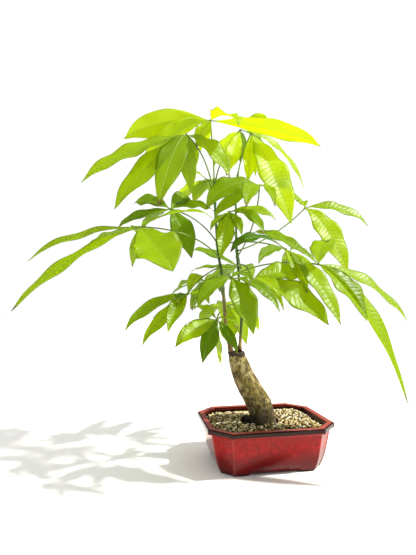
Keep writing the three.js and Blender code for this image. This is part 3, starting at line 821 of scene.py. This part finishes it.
def pot_profile():
    """The wall's section from the middle of the underside, out to the foot, up the outside, over
    the rounded lip, down the inside and back to the middle of the floor. Columns: how much of
    the outline is left, inset and height."""
    under_lip = POT_HEIGHT - LIP_THICKNESS
    rows = [(share, wall_inset(0), 0.0) for share in (0.02, 0.3, 0.6, 0.8, 0.92, 0.985)]
    rows += [(1, wall_inset(0) - 0.4, 0.3)]
    outside = np.concatenate([np.linspace(1.4, 20, 16), np.linspace(22.5, under_lip - 1.5, 16)])
    rows += [(1, wall_inset(z), z) for z in outside]
    turn = np.linspace(0, np.pi / 2, 5)
    rows += [(1, LIP_OVERHANG - 1.5 * (1 - np.cos(a)), under_lip - 1.5 + 1.5 * np.sin(a)) for a in turn]
    rows += [(1, 1.4, under_lip + 0.05)]
    rows += [(1, 1.4 - 1.4 * np.sin(a), under_lip + 1.4 - 1.4 * np.cos(a)) for a in turn[1:]]
    rows += [(1, 0, z) for z in np.linspace(under_lip + 2.4, POT_HEIGHT - 2.6, 3)]
    rows += [(1, 1.6 - 1.6 * np.cos(a), POT_HEIGHT - 1.6 + 1.6 * np.sin(a)) for a in turn]
    rows += [(1, inset, POT_HEIGHT - 0.25 * (inset - 1.6) / 8) for inset in (3, 5, 7, 8.6)]
    rows += [(1, LIP_WIDTH - 1.5 * np.cos(a), POT_HEIGHT - 1.8 + 1.5 * np.sin(a)) for a in turn[::-1]]
    inside = np.linspace(POT_HEIGHT - 5, FLOOR_TOP + 3, 12)
    rows += [(1, max(LIP_WIDTH, wall_inset(min(z, under_lip)) + WALL_THICKNESS), z) for z in inside]
    rows += [(share, wall_inset(FLOOR_TOP) + WALL_THICKNESS, FLOOR_TOP)
             for share in (0.97, 0.85, 0.6, 0.3, 0.02)]
    return np.array(rows)


def make_pot():
    """The profile carried around the outline; the bottom is then raised between the feet by the
    foot lift, which fades out up the wall, and the two drain holes are bored."""
    profile = pot_profile()
    outline = pot_outline(profile[:, 1]) * profile[:, 0, None, None]
    x, y = outline[..., 0], outline[..., 1]
    z = np.broadcast_to(profile[:, 2, None], x.shape).copy()
    outside = np.arange(len(profile)) < np.argmax(profile[:, 2] > 30)
    z += outside[:, None] * foot_lift(x, y) * np.clip(1 - z / 14, 0, 1)
    z += 0.12 * ripple(x, y, z, 60, 5, 1) * (z > 20)
    section = reaches(profile[:, 1:])
    top = POT_HEIGHT
    lip_face = smooth(top - LIP_THICKNESS + 0.6, top - LIP_THICKNESS + 2.5, z)
    on_top = smooth(1.2, 3.0, np.broadcast_to(profile[:, 1, None], x.shape)) * (z > top - 3)
    inward = np.arange(len(profile))[:, None] > np.argmax(profile[:, 2])
    # Painted dark reflection: the lip's outer face, below its rounded top edge, is marked to be made
    # almost black.
    pooled = lip_face * (1 - on_top) * (1 - inward)
    ridge = outline_ridges(outline[0].shape[0])[None] * (z < top - LIP_THICKNESS) * 0.4
    # The lip's top is painted pinkish brown as a painted highlight; the outer corners' ridges are where
    # the glaze breaks.
    thin = np.clip(on_top * 0.85 + ridge, 0, 1)
    # Painted shade: marks the inside of the wall below the rim, which is made almost black.
    inner = inward * smooth(top - 0.8, top - 3.0, z)
    rings = np.stack([x, y, z], -1)
    shell = Shell(thin=0.0, pooled=0.0, inner=0.0)
    uv = skin_map(np.arange(x.shape[1]) * 0.0013, section[:, None] * MM, x.shape)
    shell.add(*closed_skin(rings), uv, thin=with_poles(thin), pooled=with_poles(pooled),
              inner=with_poles(inner))
    pot = shell.piece("pot_glazed", red_glaze(), "red_glaze", "pot")
    bore_drains(pot)


def outline_ridges(around):
    """1 on the outline's outer corners, where the glaze breaks at the edge and runs thinner, fading within
    2 mm.
    """
    starts, _ = pot_corner_points()
    reach = reaches(np.concatenate([starts, starts[:1]]))
    spots = np.linspace(0, reach[-1], around, endpoint=False)
    outer = reach[:-1][np.arange(16) % 4 % 3 == 0]
    far = np.abs(spots[:, None] - outer[None])
    far = np.minimum(far, reach[-1] - far).min(1)
    return np.exp(-((far / 1.5) ** 2))


def bore_drains(pot):
    """Two round drain holes through the floor, cut with closed rods and applied."""
    for side in (-1, 1):
        angle = np.linspace(0, 2 * np.pi, 40, endpoint=False)
        circle = np.stack([np.cos(angle), np.sin(angle), 0 * angle], 1) * DRAIN_RADIUS
        centre = np.array([side * DRAIN_SPACING / 2, 0, 0])
        rings = np.stack([circle + centre + [0, 0, z] for z in (-5, 20)])
        rod = Shell()
        rod.add(*closed_skin(rings))
        mesh = bpy.data.meshes.new("drain_rod")
        quads, start_fan, end_fan = rod.faces
        mesh.from_pydata((rod.vertices[0] * MM).tolist(), [], quads + start_fan + end_fan)
        cutter = linked("drain_rod", mesh)
        cut = pot.modifiers.new("drain", "BOOLEAN")
        cut.operation = "DIFFERENCE"
        cut.solver = "EXACT"
        cut.object = cutter
        with bpy.context.temp_override(object=pot, active_object=pot):
            bpy.ops.object.modifier_apply(modifier=cut.name)
        bpy.data.objects.remove(cutter)


# ---------------------------------------------------------------- soil, gravel and screens


def make_soil():
    """The inside of the pot filled to the brim of the soil: outlines stacked up the wall, then
    shrunk to the middle, with the top roughened into crumbs."""
    clear = WALL_THICKNESS + 0.5
    low = np.linspace(FLOOR_TOP + 2, SOIL_TOP - 1, 6)
    rows = [(0.02, wall_inset(low[0]) + clear, low[0])]
    rows += [(1, wall_inset(z) + clear, z) for z in low]
    shares = np.linspace(0.985, 0.02, 44)
    rows += [(share, wall_inset(SOIL_TOP) + clear, SOIL_TOP) for share in shares]
    profile = np.array(rows)
    outline = pot_outline(profile[:, 1], 240) * profile[:, 0, None, None]
    x, y = outline[..., 0], outline[..., 1]
    z = np.broadcast_to(profile[:, 2, None], x.shape).copy()
    top = z > SOIL_TOP - 0.5
    z += top * (1.1 * ripple(x, y, 0 * x, 11, 8) + 0.5 * ripple(x, y, 0 * x, 4, 9))
    shell = Shell()
    shell.add(*closed_skin(np.stack([x, y, z], -1)))
    shell.piece("soil_fill", dark_soil(), "soil", "potting_soil")


def grain_shape(around=6, levels=3):
    """A pebble of unit half length: rings of a squashed ball, with two poles."""
    lift = np.linspace(-1, 1, levels + 2)[1:-1] * np.pi / 2 * 0.72
    angle = np.linspace(0, 2 * np.pi, around, endpoint=False)
    ring = np.stack([
        np.sin(lift)[:, None] + 0 * angle[None],
        np.cos(lift)[:, None] * np.cos(angle)[None],
        np.cos(lift)[:, None] * np.sin(angle)[None],
    ], -1)
    points = np.concatenate([ring.reshape(-1, 3), [[-1, 0, 0], [1, 0, 0]]])
    return points, ring_faces(levels, around)


def gravel_height(x, y):
    """The gravel's surface: level in the middle and falling to the wall."""
    wall = wall_inset(SOIL_TOP) + WALL_THICKNESS + 3
    half_x, half_y = POT_LENGTH / 2 - wall, POT_DEPTH / 2 - wall
    near = np.minimum(half_x - np.abs(x), half_y - np.abs(y))
    return GRAVEL_EDGE - 3.4 + (GRAVEL_CROWN - GRAVEL_EDGE + 1.2) * smooth(-2, 26, near)


def make_gravel():
    """Two layers of pebbles on a jittered grid. Each is the same small shape, with its own
    length, breadth, turn, tilt, tone and lumps, and the lower layer's grains are darkened as
    painted shade in the gaps between the upper ones. About a fifth is left out, and the hollow
    around the trunk is kept clear."""
    rng = np.random.default_rng(21)
    wall = wall_inset(SOIL_TOP) + WALL_THICKNESS + 2.5
    half_x, half_y = POT_LENGTH / 2 - wall, POT_DEPTH / 2 - wall
    spots = []
    for layer, pitch in ((0, 4.2), (1, 4.3)):
        grid_x, grid_y = np.meshgrid(np.arange(-half_x, half_x, pitch),
                                     np.arange(-half_y, half_y, pitch * 0.82))
        flat = np.stack([grid_x.ravel(), grid_y.ravel(), np.full(grid_x.size, layer)], 1)
        flat[:, :2] += rng.uniform(-0.55, 0.55, (len(flat), 2)) * pitch
        spots.append(flat)
    spots = np.concatenate(spots)
    x, y, layer = spots.T
    cut = CORNER_CUT - wall * (2 - np.sqrt(2))
    inside = (np.abs(x) < half_x) & (np.abs(y) < half_y)
    inside &= np.abs(x) + np.abs(y) < half_x + half_y - cut + 1
    ragged = 1 + 0.10 * ripple(x, y, 0 * x, 22, 3, 2)
    away = np.hypot((x - HOLLOW_CENTRE[0] + 3) / HOLLOW_RADII[0],
                    (y - HOLLOW_CENTRE[1]) / HOLLOW_RADII[1]) / ragged
    sparse = 0.9 + 0.1 * rng.uniform(-1, 1, len(x))
    thinned = rng.uniform(0, 1, len(x)) > 0.2 + 0.1 * ripple(x, y, 0 * x, 30, 4, 1)
    keep = inside & (away > sparse) & thinned
    x, y, layer = x[keep], y[keep], layer[keep]
    count = len(x)
    z = gravel_height(x, y) - 2.2 + 2.4 * layer + rng.uniform(-0.5, 0.5, count)
    sizes = np.stack([
        rng.uniform(1.7, 3.9, count),
        rng.uniform(0.75, 1.45, count),
        rng.uniform(0.7, 1.2, count),
    ], 1)
    heading = rng.uniform(0, 2 * np.pi, count)
    tilt = rng.normal(0, 0.36, count)
    shape, faces = grain_shape()
    lumps = 1 + 0.2 * rng.uniform(-1, 1, (count, len(shape), 1))
    points = shape[None] * sizes[:, None] * lumps
    raised = np.stack([
        points[..., 0] * np.cos(tilt)[:, None] - points[..., 2] * np.sin(tilt)[:, None],
        points[..., 1],
        points[..., 0] * np.sin(tilt)[:, None] + points[..., 2] * np.cos(tilt)[:, None],
    ], -1)
    turned = np.stack([
        raised[..., 0] * np.cos(heading)[:, None] - raised[..., 1] * np.sin(heading)[:, None],
        raised[..., 0] * np.sin(heading)[:, None] + raised[..., 1] * np.cos(heading)[:, None],
        raised[..., 2],
    ], -1)
    turned += np.stack([x, y, z], 1)[:, None]
    # Painted shade: the lower layer's tones are cut to about a third, so that grains in the gaps between
    # the upper grains look dark. The random spread is each grain's own colour.
    tone = np.clip(rng.normal(0.56, 0.34, count) * (0.34 + 0.66 * layer), 0, 1)
    tone = np.repeat(tone, len(shape))
    starts = np.arange(count) * len(shape)
    blocks = [(starts[:, None, None] + block[None]).reshape(-1, block.shape[1]) for block in faces]
    shell = Shell(tone=0.5)
    shell.add(turned.reshape(-1, 3), blocks, tone=tone)
    shell.piece("gravel_grains", cream_gravel(), "gravel", "gravel")


# ---------------------------------------------------------------- trunk and stems


def make_trunk():
    """Rings up the leaning trunk: a smooth curve through the levels, swollen into root
    buttresses at the foot, fluted, knotted at an old branch ring, and dished at the sawn top."""
    levels = np.array(TRUNK_LEVELS, float)
    rise = np.linspace(levels[0, 1], levels[-1, 1] - 0.8, 150)
    angle = np.linspace(0, 2 * np.pi, 120, endpoint=False)
    centre, radius = [rounded(levels[:, 1], levels[:, column], rise) for column in (0, 2)]
    rise, angle = rise[:, None], angle[None]
    foot = np.exp(-(((rise - 58) / 22) ** 2))
    buttress = 3.2 * foot * (np.maximum(0, np.cos(angle + 0.35)) ** 4)
    buttress = buttress + 2.6 * foot * (np.maximum(0, np.cos(angle - 2.2)) ** 5)
    buttress = buttress + 2.8 * foot * (np.maximum(0, np.cos(angle + 2.3)) ** 5)
    across = centre[:, None] + radius[:, None] * np.cos(angle)
    beside = radius[:, None] * np.sin(angle)
    flutes = 0.5 * ripple(across, beside, rise * 0.25, 15, 31) + 0.22 * ripple(
        across, beside, rise * 0.3, 5, 32)
    old_ring = 1.3 * np.exp(-(((rise - 93 - 3 * np.cos(angle)) / 3.0) ** 2))
    collar = 0.7 * smooth(170, 173, rise) - 0.5 * np.exp(-(((rise - 169.5) / 1.6) ** 2))
    fat = radius[:, None] + buttress - foot * 4.2 + flutes + old_ring + collar
    x = centre[:, None] + fat * np.cos(angle)
    y = fat * np.sin(angle)
    rings = np.stack([x, y, np.broadcast_to(rise, x.shape)], -1)
    top = rings[-1]
    middle = top.mean(0)
    dish = []
    for share, sink in ((0.96, 0.9), (0.86, 0.6), (0.6, -0.5), (0.3, -0.8), (0.05, -0.9)):
        dish.append(middle + (top - middle) * share + [0, 0, sink])
    rings = np.concatenate([rings, np.stack(dish)])
    climb = np.concatenate([rise[:, 0], rise[-1, 0] + 2 * np.arange(1, 6)])
    shell = Shell()
    uv = skin_map(angle * 20 * MM, climb[:, None] * MM, rings.shape[:2])
    shell.add(*closed_skin(rings), uv)
    shell.piece("trunk_bark", olive_bark(), "bark", "trunk")


def rounded(levels, values, at):
    """Straight runs between the levels, blurred by a bell curve about 7 mm wide."""
    offsets = np.linspace(-9, 9, 13)
    weights = np.exp(-((offsets / 5) ** 2))
    weights /= weights.sum()
    return sum(w * np.interp(at + o, levels, values) for w, o in zip(weights, offsets))


def stem_path(points, count):
    """An even path through the given points, softened by three rounds of averaging."""
    points = np.array(points, float)
    reach = reaches(points)
    spots = np.linspace(0, reach[-1], count)
    path = np.stack([np.interp(spots, reach, points[:, axis]) for axis in range(3)], 1)
    for _ in range(3):
        path[2:-2] = (path[:-4] + path[1:-3] + path[2:-2] + path[3:-1] + path[4:]) / 5
    return path, spots


def make_stem(name, spec, material):
    """A tapering tube along the stem's path, thick at its foot, with a low ring at each node
    where a petiole leaves it. Its first station is drawn down towards the sawn top."""
    path, spots = stem_path(spec["points"], STEM_STATIONS)
    path[0, 2] -= STEM_FOOT_DROP
    along = spots / spots[-1]
    radius = spec["tip_radius"] + (spec["base_radius"] - spec["tip_radius"]) * (1 - along) ** 2.2
    radius = radius + 1.3 * np.exp(-((spots / 7) ** 2))
    for grown in LEAVES.values():
        if grown["stem"] == name:
            node = spots[np.abs(path[:, 2] - grown["height"]).argmin()]
            radius = radius + 0.7 * np.exp(-(((spots - node) / 2.6) ** 2))
    rings = tube_rings(path, radius, 18)
    uv = skin_map(np.linspace(0, 0.03, 18), spots[:, None] * MM, rings.shape[:2])
    greening = np.interp(spots, [0, spec["brown_reach"], 210], [0, 0.45, 1])
    greening = np.broadcast_to(greening[:, None], rings.shape[:2])
    shell = Shell(greening=0.0)
    shell.add(*closed_skin(rings), uv, greening=with_poles(greening))
    shell.piece(name + "_bark", material, "green_stem", name)


# ---------------------------------------------------------------- leaves


def blade_shape(along):
    """A blade's width beside its widest part: drawn out at the stalk, widest beyond the middle
    and running into a drip tip."""
    widest = 0.583
    return along**1.4 * (1 - along) / (widest**1.4 * (1 - widest))


def add_blade(shell, hub, spec, age, rng):
    """One leaflet: a flat ring across each station of the arched midrib, its halves folded up
    from the midrib, its margins waved, and its tip drawn down."""
    hub = np.array(hub, float)
    tip = np.array(spec["tip"], float)
    middle = (hub + tip) / 2 + [0, 0, spec["lift"]]
    stations = 40
    along = np.linspace(0, 1, stations) ** 0.92
    place, heading = arch(hub, middle, tip, along)
    looks = np.broadcast_to(np.array(spec["looks"], float), heading.shape)
    normal = unit(looks - heading * np.sum(looks * heading, 1, keepdims=True))
    side = np.cross(heading, normal)
    twist = np.radians(rng.uniform(-16, 16)) * (along - 0.25)[:, None]
    side, normal = (side * np.cos(twist) + normal * np.sin(twist),
                    normal * np.cos(twist) - side * np.sin(twist))
    length = np.linalg.norm(tip - hub)
    half = np.maximum(spec["width"] / 2 * blade_shape(along), 0.85 - 0.55 * along)
    sway = rng.uniform(-0.025, 0.025) * length * np.sin(np.pi * along)
    place = place + side * sway[:, None]
    place[:, 2] -= 5 * smooth(0.84, 1.0, along) ** 2

    top = np.linspace(-1, 1, 13)
    share = np.concatenate([top, top[-2:0:-1]])
    upper = np.concatenate([np.ones(13), np.zeros(11)])
    upper[[0, 12]] = 0.5
    waves = rng.uniform(2.2, 3.8)
    starts = rng.uniform(0, 2 * np.pi, 2)
    phase = np.where(share < 0, starts[0], starts[1])[None]
    swell = np.sin(2 * np.pi * waves * along[:, None] + phase) * share[None] ** 2
    fold = rng.uniform(0.12, 0.24)
    rise = half[:, None] * (fold * np.abs(share[None]) + 0.13 * swell)
    across = half[:, None] * share[None]
    thick = 0.36 * np.sqrt(np.clip(1 - share**2, 0, 1))[None]
    rib = 0.75 * np.exp(-((across / 1.0) ** 2)) * (1 - 0.8 * along[:, None])
    rise = rise + np.where(upper > 0.5, thick, -thick - rib)
    rings = place[:, None] + side[:, None] * across[..., None] + normal[:, None] * rise[..., None]

    uv = skin_map(across * MM, reaches(place)[:, None] * MM, across.shape)
    burnt = rng.uniform(0.93, 1.0)
    browned = smooth(burnt, burnt + 0.035, along)[:, None] * np.ones_like(across)
    stalk = 1 - smooth(0.02, 0.07, along)[:, None] * np.ones_like(across)
    shell.add(*closed_skin(rings), uv,
              age=np.clip(age + rng.uniform(-0.12, 0.12), 0, 1),
              upper=with_poles(np.broadcast_to(upper[None], across.shape)),
              edge=with_poles(np.broadcast_to(np.abs(share)[None], across.shape)),
              browned=with_poles(browned),
              stalk=with_poles(stalk))


def petiole_start(spec):
    """The middle of the leaf's stem at the leaf's height, so that the stalk grows out of it."""
    path, _ = stem_path(STEMS[spec["stem"]]["points"], STEM_STATIONS)
    return path[np.abs(path[:, 2] - spec["height"]).argmin()]


def add_petiole(shell, spec, age):
    """The leaf's stalk: a slender tube along its arch, from inside its stem, that swells where it
    leaves the stem and again under the hub, with a knuckle for the leaflets."""
    start = petiole_start(spec)
    bend, hub = [np.array(spec[key], float) for key in ("bend", "hub")]
    along = np.linspace(0, 1, 26)
    place, _ = arch(start, bend, hub, along)
    reach = np.linalg.norm(hub - start)
    radius = 1.15 + 0.9 * np.exp(-((along * reach / 4.5) ** 2))
    radius = radius + 0.7 * np.exp(-(((1 - along) * reach / 4.0) ** 2))
    shell.add(*closed_skin(tube_rings(place, radius, 10)), age=age, stalk=1.0, upper=1.0)
    turn = np.linspace(-1, 1, 9)[1:-1] * np.pi / 2
    ball = np.stack([hub + [0, 0, 2.2 * np.sin(a)] for a in turn])
    shell.add(*closed_skin(tube_rings(ball, 2.5 * np.cos(turn), 12)), age=age, stalk=1.0, upper=1.0)


def make_leaf(name, spec, material, seed):
    """One compound leaf: its petiole, and its leaflets with seeded twists, waves and tips."""
    rng = np.random.default_rng(seed)
    shell = Shell(age=0.5, upper=1.0, edge=0.0, browned=0.0, stalk=0.0)
    ages_and_shades = np.broadcast_to(spec["age"], len(spec["leaflets"]))
    add_petiole(shell, spec, ages_and_shades.mean())
    for blade, age in zip(spec["leaflets"], ages_and_shades):
        add_blade(shell, spec["hub"], blade, age, rng)
    made = shell.piece(name + "_blades", material, "leaf", name)
    check_place(made, name)


def check_place(made, node):
    """Stops the script if a leaf's middle is far from the CAD node that it stands for."""
    low, high = [np.array(corner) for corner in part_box(node)]
    points = np.array([corner[:] for corner in made.bound_box])
    gap = np.abs((points.min(0) + points.max(0)) / 2 - (low + high) / 2).max()
    if gap > FARTHEST_MISS * MM:
        raise ValueError(f"{node} is {gap / MM:.1f} mm away from its CAD node")


# ---------------------------------------------------------------- stage, light and camera


def make_stage():
    """A pale floor that runs out of sight, a white surround and one soft sun."""
    mesh = bpy.data.meshes.new("floor")
    grid = np.linspace(-FLOOR_REACH, FLOOR_REACH, 5)
    x, y = np.meshgrid(grid, grid)
    points = np.stack([x.ravel(), y.ravel(), 0 * x.ravel()], 1)
    row, column = np.meshgrid(np.arange(4), np.arange(4))
    here = (row * 5 + column).ravel()
    mesh.from_pydata(points.tolist(), [], np.stack([here, here + 1, here + 6, here + 5], 1).tolist())
    mesh.materials.append(pale_paper())
    floor = linked("floor", mesh)

    bpy.context.scene.world = white_surround()
    sun = bpy.data.lights.new("sun", "SUN")
    sun.energy = SUN_ENERGY
    sun.angle = np.radians(SUN_ANGLE)
    sun.color = SUN_COLOUR
    lamp = linked("sun", sun)
    lamp.rotation_euler = Vector(SUN_FROM).to_track_quat("Z", "Y").to_euler()


def make_camera():
    """The camera looks at its aim from a turn to the left and slightly below level."""
    turn, rise = np.radians(CAMERA_TURN), np.radians(CAMERA_RISE)
    back = np.array([np.sin(turn) * np.cos(rise), -np.cos(turn) * np.cos(rise), np.sin(rise)])
    camera = bpy.data.cameras.new("camera")
    camera.sensor_fit = "HORIZONTAL"
    camera.sensor_width = 36
    camera.lens = CAMERA_LENS
    camera.clip_end = 50
    rig = linked("camera", camera)
    rig.location = Vector((np.array(CAMERA_AIM) + back * CAMERA_DISTANCE) * MM)
    rig.rotation_euler = Vector(back).to_track_quat("Z", "Y").to_euler()
    bpy.context.scene.camera = rig


# ---------------------------------------------------------------- the whole plant

bpy.context.scene.view_settings.view_transform = "Standard"
make_stage()
make_camera()
make_pot()
make_soil()
make_gravel()
make_trunk()
stem_bark = green_stem()
for stem_name, stem in STEMS.items():
    make_stem(stem_name, stem, stem_bark)
tissue = leaf_tissue()
for order, (leaf_name, leaf_spec) in enumerate(LEAVES.items()):
    make_leaf(leaf_name, leaf_spec, tissue, 100 + order)
mesh_plastic = screen_plastic()
for side_name in ("left", "right"):
    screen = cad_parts["drain_screen_" + side_name]
    for place in screen.material_slots:
        place.material = mesh_plastic
